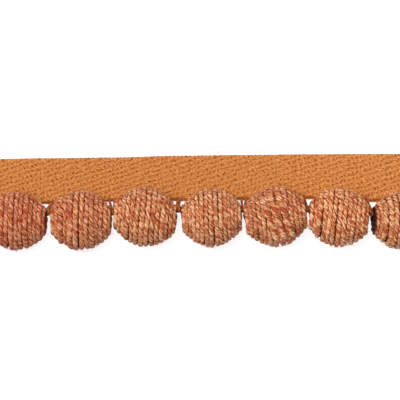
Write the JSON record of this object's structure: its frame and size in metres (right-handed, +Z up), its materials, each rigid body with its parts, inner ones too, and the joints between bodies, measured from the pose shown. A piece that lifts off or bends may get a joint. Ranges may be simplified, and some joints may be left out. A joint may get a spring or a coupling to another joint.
{
  "type": "jute ball trim",
  "caption": "Flat twill tape with a row of round beads wound in twisted jute cord, strung on a cord and stitched along the tape's edge, for edging cushions and curtains.",
  "frame": {"origin": "bottom centre of the whole trim's box, on the surface that the trim lies on", "axes": "+X along the tape, +Y from the balls to the tape's free edge, +Z up out of the surface, through the face that shows"},
  "size_m": [0.1329, 0.0269, 0.0169],
  "materials": {
    "tape_cotton": "matte ochre cotton twill",
    "jute": "matte dyed jute cord, terracotta brown",
    "cord_brown": "matte dark brown cord",
    "thread_tan": "matte tan sewing thread"
  },
  "bodies": {
    "root": {"tape": "tape_cotton", "ball_1": "jute", "ball_2": "jute", "ball_3": "jute", "ball_4": "jute", "ball_5": "jute", "ball_6": "jute", "ball_7": "jute", "string": "cord_brown", "stitch_1": "thread_tan", "stitch_2": "thread_tan", "stitch_3": "thread_tan", "stitch_4": "thread_tan", "stitch_5": "thread_tan", "stitch_6": "thread_tan", "stitch_7": "thread_tan", "stitch_8": "thread_tan"}
  },
  "joints": []
}
